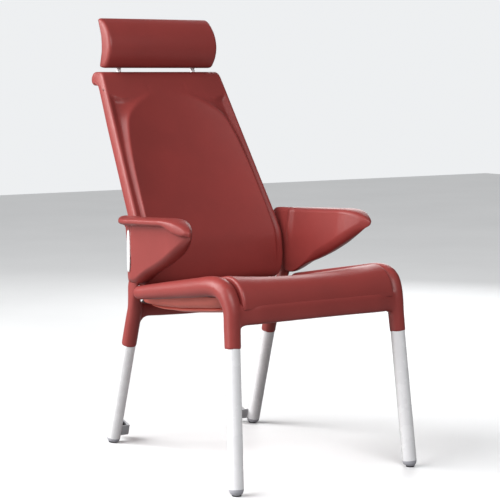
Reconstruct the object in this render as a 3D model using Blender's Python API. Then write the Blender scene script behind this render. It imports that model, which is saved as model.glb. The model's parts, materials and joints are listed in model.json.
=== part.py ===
"""High-back patient recliner chair with a moulded red seat, back, arms and headrest on four tube legs.

Metres, +Z up. The sitter faces -Y. The dimensions below run from the middle between the feet, and
build() ends by moving all of it so that the origin is on the floor at the middle of the overall box.
The back and headrest recline about a low hinge behind the seat, held by a lockable gas spring
under the seat. The headrest slides on two posts, and a transport wheel sits behind each rear foot.
"""
from math import atan2, cos, degrees, pi, radians, sin

import bmesh
import bpy
from mathutils import Matrix, Vector

# ---------------------------------------------------------------- driving dimensions
LEG_R = 0.019                 # 38 mm leg tube
LEG_WALL = 0.0020
SLEEVE_R = 0.0208             # moulded sleeve around the tube
SOCKET_DEPTH = 0.085          # tube length hidden in its sleeve
FRONT_FOOT = Vector((0.277, -0.349, 0.0))
FRONT_SLEEVE = Vector((0.262, -0.310, 0.362))
REAR_FOOT = Vector((0.239, 0.349, 0.0))
REAR_SLEEVE = Vector((0.235, 0.259, 0.292))
CAP_HEIGHT = 0.017            # visible height of the grey foot cap
GLIDE_R = 0.0115

RAIL_REAR = Vector((0.260, 0.176, 0.4485))
RAIL_FRONT = Vector((0.262, -0.236, 0.512))
RAIL_R_REAR = 0.0195
RAIL_R_FRONT = 0.0262

APRON_Y = -0.308              # middle of the front cross member
APRON_LOW = 0.420
APRON_HIGH = 0.466

SEAT_HALF = 0.2335            # seat pad half width, between the rails
SEAT_REAR = 0.168
SEAT_SLOPE = -0.183           # rise of the rails per metre towards the rear
SEAT_LEVEL = 0.497            # rail top height at y = 0

LEAN = radians(31.6)          # back plane from the vertical
BACK_UP = Vector((0, sin(LEAN), cos(LEAN)))
BACK_FRONT = Vector((0, -cos(LEAN), sin(LEAN)))
BACK_BEND = Vector((0, 0.2235, 0.650))    # front rim line starts to run straight here
BACK_TOP_LENGTH = 0.452       # straight run of the back above the bend
BACK_THICK = 0.040
PARTING = 0.0150              # pad thickness behind the front rim line
BACK_HALF_LOW = 0.2355
BACK_HALF_TOP = 0.200
SCROLL_R = 0.019

HINGE = Vector((0, 0.205, 0.442))
CRANK = 0.050
CRANK_REST = radians(20)      # crank leans forward of straight down
SPRING_FRONT = Vector((0, -0.160, 0.452))
SPRING_R = 0.011
ROD_R = 0.004

POST_X = 0.125
POST_R = 0.0070
POST_AT = Vector((0, 0.5000, 1.050))      # where the post axis passes the gap above the back
HEAD_HALF = 0.183

GLIDE_HEIGHT = 0.0035
TONGUE_X = 0.2500             # flat tongue of the rear sleeve, inside the arm
TONGUE_TOP = 0.575
ARM_BOLT_Z = 0.545
CAP_AT = Vector((0.2880, 0.1720, 0.565))  # centre of the arm's outer cover plate
CAP_TURN = radians(22)        # the plate faces outwards and a little to the rear
CAP_SEAT = -0.0060
CAP_HALF_W = 0.0210
CAP_HALF_H = 0.0575
CROSSBAR_Y = 0.2280
CROSSBAR_LUG_Z = 0.4125
WATERFALL_R = 0.072
TRAY_REAR = 0.2151
TRAY_RIM = 0.4230
TRAY_SLOPE = -0.135
TRAY_DEPTH = 0.0430
TOP_ROLL_R = 0.030
SCROLL_AT = (0.508, 1.0265)
GUIDE_R = 0.0085
POST_BELOW = 0.235
BACK_ARM_TOP = (0.2440, 0.6000)
HEAD_LOW = 1.0580
HEAD_HIGH = 1.1980
LEVER_AT = Vector((0, -0.182, 0.4580))
FORK_FRONT = (0.352, 0.0150)
FORK_HEIGHT = 0.030
FORK_INNER = 0.1865
FORK_PLAN = ((0.2205, 0.0), (FORK_INNER, 0.0), (FORK_INNER, 0.036), (FORK_INNER + 0.0022, 0.036),
             (FORK_INNER + 0.0022, 0.0022), (0.2085, 0.0022), (0.2085, 0.036), (0.2107, 0.036), (0.2107, 0.0022),
             (0.2205, 0.0022))
WHEEL_RISE = 0.0100
WHEEL_BACK = 0.0300
WHEEL_R = 0.0210

GAP = 0.0003                  # between pieces that touch
FOOTPRINT_MIDDLE = 0.0803     # Y of the middle of the overall length, moved to the origin at the end
SIDES = (("left", -1), ("right", 1))

# ---------------------------------------------------------------- materials
FINISHES = {
    "moulded_skin": ((0.270, 0.056, 0.050), 0.42, 0.0),
    "under_tray": ((0.320, 0.080, 0.070), 0.60, 0.0),
    "white_enamel": ((0.780, 0.780, 0.800), 0.30, 0.0),
    "white_plastic": ((0.820, 0.820, 0.840), 0.35, 0.0),
    "grey_plastic": ((0.330, 0.330, 0.370), 0.45, 0.0),
    "dark_plastic": ((0.050, 0.050, 0.055), 0.55, 0.0),
    "bright_steel": ((0.720, 0.720, 0.740), 0.18, 1.0),
    "zinc_steel": ((0.480, 0.480, 0.500), 0.38, 1.0),
    "black_steel": ((0.030, 0.030, 0.032), 0.40, 0.6),
    "wheel_rubber": ((0.040, 0.042, 0.044), 0.70, 0.0),
    "bronze": ((0.420, 0.270, 0.120), 0.35, 1.0),
}


def clear_scene():
    for item in list(bpy.data.objects):
        bpy.data.objects.remove(item, do_unlink=True)


def node_material(name, finish):
    """Each sub-part has a material of its own, in one of the shared finishes."""
    colour, roughness, metallic = FINISHES[finish]
    material = bpy.data.materials.new(name + "_" + finish)
    material.use_nodes = True
    shader = material.node_tree.nodes["Principled BSDF"]
    shader.inputs["Base Color"].default_value = (*colour, 1.0)
    shader.inputs["Roughness"].default_value = roughness
    shader.inputs["Metallic"].default_value = metallic
    return material


# ---------------------------------------------------------------- shape helpers
def joint_empty(name, location):
    """An empty on a joint's axis. The pieces that move there are its children."""
    empty = bpy.data.objects.new(name, None)
    empty.location = location
    bpy.context.collection.objects.link(empty)
    return empty


def add_object(name, bm, finish, parent=None, smooth=35):
    """Turns a bmesh in world coordinates into a named object under its joint's empty."""
    bmesh.ops.recalc_face_normals(bm, faces=bm.faces[:])
    if bm.calc_volume(signed=True) < 0:
        bmesh.ops.reverse_faces(bm, faces=bm.faces[:])
    origin = parent.location if parent else Vector((0, 0, 0))
    bmesh.ops.translate(bm, verts=bm.verts[:], vec=-origin)
    mesh = bpy.data.meshes.new(name)
    bm.to_mesh(mesh)
    bm.free()
    mesh.shade_smooth()
    mesh.set_sharp_from_angle(angle=radians(smooth))
    item = bpy.data.objects.new(name, mesh)
    bpy.context.collection.objects.link(item)
    if parent:
        item.parent = parent
    if finish:
        mesh.materials.append(node_material(name, finish))
    return item


def hide_guide(item):
    item.hide_render = True
    item.display_type = "WIRE"
    return item


def boolean(target, tool, operation):
    modifier = target.modifiers.new(operation.lower(), "BOOLEAN")
    modifier.operation = operation
    modifier.solver = "EXACT"
    modifier.object = hide_guide(tool)


def cut(target, tool):
    boolean(target, tool, "DIFFERENCE")


def unite(target, tool):
    boolean(target, tool, "UNION")


def rounded_ring(centre, across, along, half_a, half_b, power=2.0, count=24):
    """Points of a superellipse: power 2 is an ellipse, more is a rounded rectangle."""
    points = []
    for i in range(count):
        angle = 2 * pi * (i + 0.5) / count
        c, s = cos(angle), sin(angle)
        a = half_a * abs(c) ** (2 / power) * (1 if c > 0 else -1)
        b = half_b * abs(s) ** (2 / power) * (1 if s > 0 else -1)
        points.append(centre + across * a + along * b)
    return points


def loft_mesh(rings, closed=False):
    """Skins a row of rings. An open row gets flat ends, a closed row joins end to start."""
    bm = bmesh.new()
    loops = [[bm.verts.new(point) for point in ring] for ring in rings]
    count = len(rings[0])
    pairs = list(zip(loops, loops[1:]))
    if closed:
        pairs.append((loops[-1], loops[0]))
    for low, high in pairs:
        for i in range(count):
            j = (i + 1) % count
            bm.faces.new((low[i], low[j], high[j], high[i]))
    if not closed:
        bm.faces.new(list(reversed(loops[0])))
        bm.faces.new(loops[-1])
    return bm


def loft(name, rings, finish, parent=None, closed=False, smooth=35):
    return add_object(name, loft_mesh(rings, closed), finish, parent, smooth)


def frame_axes(direction):
    """Two unit vectors square to a direction."""
    helper = Vector((1, 0, 0)) if abs(direction.x) < 0.9 else Vector((0, 1, 0))
    across = direction.cross(helper).normalized()
    return across, direction.cross(across).normalized()


def rod(name, start, end, radius, finish, parent=None, chamfer=0.0008, count=16):
    """A round bar with chamfered ends."""
    direction = (end - start).normalized()
    across, along = frame_axes(direction)
    stations = (
        (start, radius - chamfer),
        (start + direction * chamfer, radius),
        (end - direction * chamfer, radius),
        (end, radius - chamfer),
    )
    rings = [rounded_ring(at, across, along, r, r, count=count) for at, r in stations]
    return loft(name, rings, finish, parent)


def tube(name, start, end, outer, inner, finish, parent=None, count=24):
    """A straight tube, open at both ends."""
    direction = (end - start).normalized()
    across, along = frame_axes(direction)
    stations = ((start, outer), (end, outer), (end, inner), (start, inner))
    rings = [rounded_ring(at, across, along, r, r, count=count) for at, r in stations]
    return loft(name, rings, finish, parent, closed=True)


def turned(name, profile, origin, axis, finish, parent=None, count=16):
    """Spins (radius, height) pairs about an axis. A first radius above zero leaves a bore."""
    across, along = frame_axes(axis)
    bored = profile[0][0] > 0
    stations = profile if bored else profile[1:-1]
    rings = [rounded_ring(origin + axis * h, across, along, r, r, count=count) for r, h in stations]
    return loft(name, rings, finish, parent, closed=bored)


def plate(name, outline, x_low, x_high, finish, parent=None):
    """A flat plate: an outline in (y, z), thick along X."""
    rings = [[Vector((x, y, z)) for y, z in outline] for x in (x_low, x_high)]
    return loft(name, rings, finish, parent)


def arc(centre, radius, start, stop, count):
    """Points (y, z) on an arc. Angles in degrees, from +Y towards +Z."""
    step = (stop - start) / (count - 1)
    angles = [radians(start + step * i) for i in range(count)]
    return [(centre[0] + radius * cos(a), centre[1] + radius * sin(a)) for a in angles]


def bore(name, centre, radius, length, axis=Vector((1, 0, 0)), parent=None, count=14):
    """A guide cylinder that cuts a round hole."""
    half = axis * (length / 2)
    return rod(name, centre - half, centre + half, radius, None, parent, chamfer=0.0, count=count)


def smooth_step(t):
    t = min(max(t, 0.0), 1.0)
    return t * t * (3 - 2 * t)


def mirrored(point, side):
    return Vector((point.x * side, point.y, point.z))


def between(table, value):
    """Straight-line reading of a short (key, number) table."""
    for (k0, v0), (k1, v1) in zip(table, table[1:]):
        if value <= k1:
            return v0 + (v1 - v0) * max(value - k0, 0) / (k1 - k0)
    return table[-1][1]


# ---------------------------------------------------------------- legs and feet
def level(vector):
    """The same heading, laid flat."""
    return Vector((vector.x, vector.y, 0)).normalized()


def leg(name, foot, sleeve):
    """Leg tube, foot cap plugged into it and glide disc flat on the floor."""
    direction = (sleeve - foot).normalized()
    across, along = frame_axes(direction)
    start = foot + direction * (CAP_HEIGHT / direction.z)
    end = sleeve + direction * SOCKET_DEPTH
    tube("leg_tube_" + name, start, end, LEG_R, LEG_R - LEG_WALL, "white_enamel")
    seat_of_cap = foot + Vector((0, 0, GLIDE_HEIGHT + GAP))
    base = GLIDE_R + 0.001
    plug = LEG_R - LEG_WALL - GAP
    shoulder = start - direction * GAP
    rings = [rounded_ring(seat_of_cap, level(across), level(along), base, base)]
    for back_off, radius in ((0.0085, 0.0172), (0.0025, LEG_R), (0.0, LEG_R), (0.0, plug), (-0.022, plug)):
        rings.append(rounded_ring(shoulder - direction * back_off, across, along, radius, radius))
    loft("foot_cap_" + name, rings, "grey_plastic")
    profile = ((0, 0), (GLIDE_R - 0.001, 0), (GLIDE_R, 0.001), (GLIDE_R, GLIDE_HEIGHT), (0, GLIDE_HEIGHT))
    turned("foot_glide_" + name, profile, foot, Vector((0, 0, 1)), "dark_plastic")


def legs():
    for side_name, side in SIDES:
        leg("front_" + side_name, mirrored(FRONT_FOOT, side), mirrored(FRONT_SLEEVE, side))
        leg("rear_" + side_name, mirrored(REAR_FOOT, side), mirrored(REAR_SLEEVE, side))


def socket_cutter(name, foot, sleeve):
    """The blind socket that a leg tube sits in."""
    direction = (sleeve - foot).normalized()
    start = sleeve - direction * 0.01
    end = sleeve + direction * (SOCKET_DEPTH + 0.001)
    return rod(name, start, end, LEG_R + 2 * GAP, None, chamfer=0.0, count=24)


# ---------------------------------------------------------------- seat frame
def rail_and_sleeve(side_name, side):
    """One seat rail that bends down at the front into the sleeve of the front leg."""
    foot = mirrored(FRONT_FOOT, side)
    sleeve = mirrored(FRONT_SLEEVE, side)
    up = (sleeve - foot).normalized()
    rear = mirrored(RAIL_REAR, side)
    front = mirrored(RAIL_FRONT, side)
    forward = (front - rear).normalized()
    corner_low = sleeve + up * 0.100
    stations = [(rear + forward * 0.0, 0.006, forward), (rear + forward * 0.003, 0.0125, forward)]
    stations.append((rear + forward * 0.009, 0.0175, forward))
    for t in (0.05, 0.5, 1.0):
        radius = RAIL_R_REAR + (RAIL_R_FRONT - RAIL_R_REAR) * t
        stations.append((rear.lerp(front, t), radius, forward))
    for i in range(1, 6):
        t = i / 6
        at = front * (1 - t) ** 2 + (front + forward * 0.060) * 2 * t * (1 - t) + corner_low * t ** 2
        heading = forward.lerp(-up, t).normalized()
        stations.append((at, RAIL_R_FRONT + (0.0225 - RAIL_R_FRONT) * t, heading))
    stations.append((corner_low, 0.0222, -up))
    stations.append((sleeve + up * 0.05, 0.0212, -up))
    stations.append((sleeve, SLEEVE_R, -up))
    sideways = Vector((1, 0, 0))
    rings = []
    for at, radius, heading in stations:
        rings.append(rounded_ring(at, sideways, heading.cross(sideways).normalized(), radius, radius))
    item = loft("seat_rail_" + side_name, rings, "moulded_skin")
    cut(item, socket_cutter("socket_front_" + side_name, foot, sleeve))


def rear_sleeve(side_name, side):
    """Sleeve of a rear leg. Its top flattens into a tongue that runs up outside the back."""
    foot = mirrored(REAR_FOOT, side)
    sleeve = mirrored(REAR_SLEEVE, side)
    up = (sleeve - foot).normalized()
    across = Vector((1, 0, 0))
    along = up.cross(across).normalized()
    tongue_x = side * TONGUE_X
    stations = (
        (sleeve, SLEEVE_R, SLEEVE_R, 2.0),
        (sleeve + up * 0.060, SLEEVE_R, SLEEVE_R, 2.0),
        (sleeve + up * 0.112, SLEEVE_R, SLEEVE_R, 2.0),
    )
    rings = [rounded_ring(at, across, along, a, b, p) for at, a, b, p in stations]
    taper = ((0.150, 0.0130, 0.0195, 0.6), (0.172, 0.0068, 0.0175, 1.0), (0.195, 0.0055, 0.0160, 1.0))
    for rise, half_x, half_y, shift in taper:
        at = sleeve + up * rise
        at.x += (tongue_x - at.x) * shift
        rings.append(rounded_ring(at, across, along, half_x, half_y, 2.0 + shift))
    for height, y in ((0.510, 0.193), (TONGUE_TOP, 0.190)):
        rings.append(rounded_ring(Vector((tongue_x, y, height)), across, Vector((0, 1, 0)), 0.0050, 0.0140, 3.0))
    item = loft("rear_leg_sleeve_" + side_name, rings, "moulded_skin")
    cut(item, socket_cutter("socket_rear_" + side_name, foot, sleeve))
    bolt_bore = bore("bolt_bore_" + side_name, Vector((tongue_x, 0.190, ARM_BOLT_Z)), 0.0033, 0.03)
    cut(item, bolt_bore)


def front_apron():
    """Cross member under the front edge, between the front sleeves."""
    rings = []
    reach = FRONT_SLEEVE.x - 0.0213
    for i in range(9):
        x = -reach + 2 * reach * i / 8
        ease = (abs(x) / reach) ** 6
        low = APRON_LOW - 0.006 * ease
        centre = Vector((x, APRON_Y - 0.004 * (1 - (x / reach) ** 2), (low + APRON_HIGH) / 2))
        half = (APRON_HIGH - low) / 2
        rings.append(rounded_ring(centre, Vector((0, 1, 0)), Vector((0, 0, 1)), 0.0165, half, 3.0))
    item = loft("front_apron", rings, "moulded_skin")
    for side_name, side in SIDES:
        foot = mirrored(FRONT_FOOT, side)
        sleeve = mirrored(FRONT_SLEEVE, side)
        up = (sleeve - foot).normalized()
        tool = rod("apron_end_" + side_name, sleeve, sleeve + up * 0.15, 0.0226, None, chamfer=0.0, count=24)
        cut(item, tool)


def rear_crossbar():
    """Curved cross member between the rear sleeves, behind the under tray."""
    rings = []
    reach = 0.2120
    for i in range(13):
        x = -reach + 2 * reach * i / 12
        sag = 1 - (x / reach) ** 2
        centre = Vector((x, CROSSBAR_Y, 0.3950 - 0.008 * sag))
        rings.append(rounded_ring(centre, Vector((0, 1, 0)), Vector((0, 0, 1)), 0.0125, 0.0170, 2.6, 20))
    return loft("rear_crossbar", rings, "moulded_skin")


def seat_profile():
    """Stations along the seat from the rear: point on the side line, and the surface's normal."""
    slope = Vector((0, 1, SEAT_SLOPE)).normalized()
    normal = Vector((1, 0, 0)).cross(slope).normalized()
    stations = []
    for y in (SEAT_REAR, 0.150, 0.10, 0.04, -0.02, -0.08, -0.14, -0.19, -0.238):
        stations.append((Vector((0, y, SEAT_LEVEL + SEAT_SLOPE * y)), normal))
    last, _ = stations[-1]
    centre = last - normal * WATERFALL_R
    for i in range(1, 6):
        angle = radians(20 * i)
        turned_normal = (Matrix.Rotation(angle, 3, "X") @ normal).normalized()
        stations.append((centre + turned_normal * WATERFALL_R, turned_normal))
    return stations


def pad_ring(centre, normal, half, thick, crown, count=14):
    """A cushion section: a crowned or dished face over a flat back, with soft edges."""
    points = []
    for i in range(count + 1):
        t = -1 + 2 * i / count
        x = half * sin(t * pi / 2)
        edge = max(abs(x) / half - 0.86, 0) / 0.14
        lift = crown(x / half) * (1 - edge ** 2) - 0.006 * edge ** 2
        points.append(centre + Vector((x, 0, 0)) + normal * lift)
    for i in range(5):
        t = 1 - 2 * i / 4
        points.append(centre + Vector((t * (half - 0.004), 0, 0)) - normal * thick)
    return points


def seat_pad():
    rings = []
    stations = seat_profile()
    last = len(stations) - 1
    for i, (centre, normal) in enumerate(stations):
        depth = 0.014 * smooth_step(1 - max(i - 6, 0) / 6)
        thick = 0.030 if i < last - 3 else 0.026
        rings.append(pad_ring(centre, normal, SEAT_HALF, thick, lambda u, d=depth: -d * (1 - abs(u) ** 2.2)))
    loft("seat_pad", rings, "moulded_skin")


def seat_plate():
    """Pressed steel plate that carries the seat pad, flanged to the rails."""
    slope = Vector((0, 1, SEAT_SLOPE)).normalized()
    normal = Vector((1, 0, 0)).cross(slope).normalized()
    rings = []
    for y in (0.150, -0.215):
        centre = Vector((0, y, SEAT_LEVEL + SEAT_SLOPE * y)) - normal * 0.0322
        rings.append(rounded_ring(centre, Vector((1, 0, 0)), normal, SEAT_HALF - 0.002, 0.0015, 12, 16))
    loft("seat_plate", rings, "black_steel")


def tray_outline(level_share, inset, drop):
    """A rounded rectangle in plan, sloped less than the seat, for one level of the under tray."""
    points = []
    count = 40
    half_x = (0.2300 - inset) * (1 - 0.42 * level_share)
    y_rear = TRAY_REAR - inset
    y_front = -0.240 + inset + 0.16 * level_share
    centre_y = (y_rear + y_front) / 2
    half_y = (y_rear - y_front) / 2
    for i in range(count):
        angle = 2 * pi * (i + 0.5) / count
        c, s = cos(angle), sin(angle)
        x = half_x * abs(c) ** 0.5 * (1 if c > 0 else -1)
        y = centre_y + half_y * abs(s) ** 0.5 * (1 if s > 0 else -1)
        z = TRAY_RIM + (TRAY_SLOPE * (1 - 0.45 * level_share)) * (y - TRAY_REAR) - drop
        points.append(Vector((x, y, z)))
    return points


def under_tray():
    """Moulded belly tray that hides the gas spring, with a slot for a hand at its left side."""
    wall = 0.0025
    shares = ((0.0, 0.0), (0.10, 0.016), (0.32, 0.029), (0.62, 0.037), (0.92, TRAY_DEPTH))
    outer = [tray_outline(share, 0.0, drop) for share, drop in shares]
    inner = [tray_outline(share, wall, drop - (wall if share > 0.05 else 0.0)) for share, drop in shares]
    item = loft("under_tray", list(reversed(inner)) + outer, "under_tray")
    cut(item, bore("lever_slot", Vector((0.1975, LEVER_AT.y, LEVER_AT.z)), 0.0065, 0.105))


def fixed_seat():
    for side_name, side in SIDES:
        rail_and_sleeve(side_name, side)
        rear_sleeve(side_name, side)
    front_apron()
    rear_crossbar()
    seat_pad()
    seat_plate()
    under_tray()


# ---------------------------------------------------------------- arms
def arm(side_name, side):
    """Wing-shaped moulded arm: a deep panel that sweeps up to a flat top rail with a pointed tip."""
    levels = (
        (0.4770, 0.150, 0.202, 0.2435, 0.2790),
        (0.4860, 0.125, 0.212, 0.2405, 0.2835),
        (0.5080, 0.082, 0.215, 0.2400, 0.2860),
        (0.5460, -0.010, 0.215, 0.2405, 0.2900),
        (0.5830, -0.080, 0.216, 0.2420, 0.2960),
        (0.6120, -0.122, 0.220, 0.2450, 0.3020),
        (0.6350, -0.152, 0.229, 0.2480, 0.3120),
        (0.6420, -0.155, 0.240, 0.2490, 0.3220),
        (0.6540, -0.146, 0.243, 0.2500, 0.3250),
        (0.6640, -0.120, 0.236, 0.2540, 0.3210),
        (0.6690, -0.085, 0.215, 0.2650, 0.3120),
    )
    rings = []
    for z, y_front, y_rear, x_in, x_out in levels:
        centre = Vector((side * (x_in + x_out) / 2, (y_front + y_rear) / 2, z))
        half_x = (x_out - x_in) / 2
        half_y = (y_rear - y_front) / 2
        rings.append(rounded_ring(centre, Vector((1, 0, 0)), Vector((0, 1, 0)), half_x, half_y, 3.4, 32))
    item = loft("arm_" + side_name, rings, "moulded_skin", smooth=50)
    pocket_rings = []
    for height, y, half_y in ((0.450, 0.2020, 0.0240), (0.520, 0.1950, 0.0200), (TONGUE_TOP + 0.003, 0.1905, 0.0160)):
        centre = Vector((side * TONGUE_X, y, height))
        pocket_rings.append(rounded_ring(centre, Vector((1, 0, 0)), Vector((0, 1, 0)), 0.0066, half_y, 3.0))
    cut(item, loft("arm_pocket_" + side_name, pocket_rings, None))
    profile = ((0, 0), (0.0070, 0), (0.0070, 0.0300), (0.0034, 0.0300), (0.0034, 0.0700), (0, 0.0700))
    bolt_at = Vector((side * 0.3000, 0.190, ARM_BOLT_Z))
    cut(item, turned("arm_bolt_bore_" + side_name, profile, bolt_at, Vector((-side, 0, 0)), None, count=18))
    normal = Vector((side * cos(CAP_TURN), sin(CAP_TURN), 0))
    tangent = Vector((-normal.y, normal.x, 0))
    centre = mirrored(CAP_AT, side)
    recess = []
    for depth in (CAP_SEAT, CAP_SEAT + 0.05):
        ring = rounded_ring(centre + normal * depth, tangent, Vector((0, 0, 1)), CAP_HALF_W, CAP_HALF_H, 2.3, 32)
        recess.append(ring)
    cut(item, loft("cap_recess_" + side_name, recess, None))
    cap_rings = []
    for depth, shrink in ((0.0, 0.0), (0.0022, 0.0), (0.0036, 0.0022), (0.0042, 0.0080)):
        at = centre + normal * (CAP_SEAT + GAP + depth)
        half_w = CAP_HALF_W - GAP - shrink
        half_h = CAP_HALF_H - GAP - shrink
        cap_rings.append(rounded_ring(at, tangent, Vector((0, 0, 1)), half_w, half_h, 2.3, 32))
    loft("arm_cap_" + side_name, cap_rings, "white_plastic")
    arm_bolt(side_name, side)


def arm_bolt(side_name, side):
    """Cap screw from the arm's outer side through the tongue."""
    axis = Vector((-side, 0, 0))
    head_at = Vector((side * 0.2738, 0.190, ARM_BOLT_Z))
    profile = ((0, 0), (0.0062, 0), (0.0065, 0.0005), (0.0065, 0.0035), (0.0030, 0.0035), (0.0030, 0.0285), (0, 0.0285))
    turned("arm_bolt_" + side_name, profile, head_at, axis, "zinc_steel", count=16)


# ---------------------------------------------------------------- back
def back_profile():
    """Front rim line of the back from the bottom: (point, up tangent) pairs."""
    low = [(0.2080, 0.4585), (0.1900, 0.4655), (0.1815, 0.4850), (0.1815, 0.5250), (0.1880, 0.5760), (0.2035, 0.6150)]
    points = [Vector((0, y, z)) for y, z in low]
    for i in range(9):
        points.append(BACK_BEND + BACK_UP * (BACK_TOP_LENGTH * i / 8))
    centre = points[-1] - BACK_FRONT * TOP_ROLL_R
    for i in range(1, 5):
        angle = (pi / 2 - LEAN) * i / 4
        points.append(centre + Matrix.Rotation(-angle, 3, "X") @ (BACK_FRONT * TOP_ROLL_R))
    stations = []
    for i, point in enumerate(points):
        before = points[max(i - 1, 0)]
        after = points[min(i + 1, len(points) - 1)]
        stations.append((point, (after - before).normalized()))
    return stations


def back_half(z):
    """Half width of the back at a height: widest at the arms, narrow at the top and the bottom."""
    table = ((0.456, 0.190), (0.470, 0.208), (0.490, 0.226), (0.520, 0.2335), (0.600, BACK_HALF_LOW), (1.046, BACK_HALF_TOP))
    return between(table, z)


def bolster(u):
    """Side bolsters of the back pad over a dished middle. u runs from -1 to 1 across the pad."""
    rise = abs(u) / 0.84
    return min(rise, 1.0) ** 2.4 * (1.0 if rise < 1 else max(0.0, 1 - (rise - 1) / 0.16 * 1.4))


def back_pad(hinge):
    rings = []
    for point, up in back_profile():
        normal = Vector((1, 0, 0)).cross(up).normalized()
        height = point.z
        rise = 0.020 * smooth_step((height - 0.47) / 0.10) * smooth_step((1.000 - height) / 0.06)
        thick = PARTING - 0.010 * smooth_step((height - 1.015) / 0.03)
        half = back_half(height)
        rings.append(pad_ring(point, normal, half, thick, lambda u, r=rise: r * bolster(u), 20))
    item = loft("back_pad", rings, "moulded_skin", hinge)
    return item


def back_shell(hinge):
    """Rear shell of the back. Its top runs into the horizontal scroll behind the top edge."""
    deep = (BACK_THICK + PARTING + GAP) / 2
    half_thick = (BACK_THICK - PARTING - GAP) / 2
    rings = []
    for point, up in back_profile()[2:14]:
        normal = Vector((1, 0, 0)).cross(up).normalized()
        centre = point - normal * deep
        half = back_half(point.z)
        rings.append(rounded_ring(centre, Vector((1, 0, 0)), normal, half, half_thick, 5.0, 28))
    for y, z, nose in ((0.4835, 1.0080, 0.011), (0.4990, 1.0210, 0.009)):
        normal = Vector((0, -0.62, 0.78))
        rings.append(rounded_ring(Vector((0, y, z)), Vector((1, 0, 0)), normal, BACK_HALF_TOP - 0.001, nose, 5.0, 28))
    item = loft("back_shell", rings, "moulded_skin", hinge)
    scroll = []
    for x, radius in ((-0.200, 0.011), (-0.197, 0.0165), (-0.190, SCROLL_R), (0.190, SCROLL_R), (0.197, 0.0165), (0.200, 0.011)):
        scroll.append(rounded_ring(Vector((x, *SCROLL_AT)), Vector((0, 1, 0)), Vector((0, 0, 1)), radius, radius, 2.0, 24))
    unite(item, loft("back_scroll", scroll, None, hinge))
    for side_name, side in SIDES:
        low = POST_AT - BACK_UP * 0.300 + Vector((side * POST_X, 0, 0))
        high = POST_AT + BACK_UP * 0.03 + Vector((side * POST_X, 0, 0))
        cut(item, rod("guide_bore_" + side_name, low, high, GUIDE_R + GAP, None, hinge, 0.0, 20))
    return item


def post_guides(hinge):
    """Plastic sleeves in the shell that the headrest posts slide in."""
    for side_name, side in SIDES:
        shift = Vector((side * POST_X, 0, 0))
        low = POST_AT - BACK_UP * 0.295 + shift
        high = POST_AT - BACK_UP * 0.010 + shift
        tube("post_guide_" + side_name, low, high, GUIDE_R, POST_R + 0.00025, "dark_plastic", hinge, 20)


def hinge_side(side_name, side, hinge):
    """Frame lug, shouldered pin and bush, and the back's hinge arm on one side."""
    at = Vector((side, HINGE.y, HINGE.z))
    lug = arc((HINGE.y, HINGE.z), 0.0155, -60, 180, 10)
    lug += [(HINGE.y - 0.0155, HINGE.z - 0.020), (HINGE.y, CROSSBAR_LUG_Z), (HINGE.y + 0.031, CROSSBAR_LUG_Z)]
    low, high = sorted((side * 0.2030, side * 0.2085))
    frame_lug = plate("hinge_lug_" + side_name, lug, low, high, "black_steel")
    cut(frame_lug, bore("lug_bore_" + side_name, Vector((side * 0.2057, HINGE.y, HINGE.z)), 0.0064, 0.03, count=20))
    pin_axis = Vector((-side, 0, 0))
    profile = ((0, 0), (0.0090, 0), (0.0095, 0.0005), (0.0095, 0.0022), (0.0060, 0.0022), (0.0060, 0.0300), (0, 0.0300))
    turned("hinge_pin_" + side_name, profile, Vector((side * 0.2110, HINGE.y, HINGE.z)), pin_axis, "zinc_steel")
    profile = ((0.0062, 0), (0.0098, 0), (0.0098, 0.0020), (0.0080, 0.0020), (0.0080, 0.0085), (0.0062, 0.0085))
    turned("hinge_bush_" + side_name, profile, Vector((side * 0.2025, HINGE.y, HINGE.z)), pin_axis, "bronze", hinge)
    outline = arc((HINGE.y, HINGE.z), 0.0150, -180, 20, 10)
    top = BACK_ARM_TOP
    outline += [(HINGE.y + 0.0255, HINGE.z + 0.030), (top[0] + 0.004, top[1]), (top[0] - 0.004, top[1])]
    outline += [(0.2235, 0.5200), (0.2235, 0.4750), (0.2135, 0.4570), (0.1950, 0.4530)]
    low, high = sorted((side * 0.1945, side * 0.2000))
    back_arm = plate("back_hinge_arm_" + side_name, outline, low, high, "black_steel", hinge)
    cut(back_arm, bore("arm_bush_bore_" + side_name, at * 1.0 - Vector((side - side * 0.1975, 0, 0)), 0.0083, 0.03, parent=hinge))


def back_drive(hinge):
    """Cross tube between the hinge arms, and the crank that the gas spring pushes."""
    left = Vector((-0.1938, HINGE.y, HINGE.z))
    right = Vector((0.1938, HINGE.y, HINGE.z))
    tube("back_cross_tube", left, right, 0.0125, 0.0105, "black_steel", hinge, 24)
    tip = crank_tip()
    down = (tip - HINGE).normalized()
    base_angle = degrees(atan2(down.z, down.y))
    for side_name, side in SIDES:
        outline = arc((HINGE.y, HINGE.z), 0.0152, base_angle + 90, base_angle + 270, 9)
        outline += arc((tip.y, tip.z), 0.0080, base_angle - 90, base_angle + 90, 9)
        low, high = sorted((side * 0.0065, side * 0.0105))
        crank = plate("crank_" + side_name, outline, low, high, "black_steel", hinge)
        cut(crank, bore("crank_tube_bore_" + side_name, Vector((side * 0.0085, HINGE.y, HINGE.z)), 0.0125 + GAP, 0.02,
                        parent=hinge, count=24))
        cut(crank, bore("crank_pin_bore_" + side_name, Vector((side * 0.0085, tip.y, tip.z)), 0.0031, 0.02, parent=hinge))
    axis = Vector((1, 0, 0))
    rod("crank_pin", tip - axis * 0.0125, tip + axis * 0.0125, 0.0030, "zinc_steel", hinge, 0.0005, 12)


def crank_tip():
    return HINGE + Vector((0, -sin(CRANK_REST), -cos(CRANK_REST))) * CRANK


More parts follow.
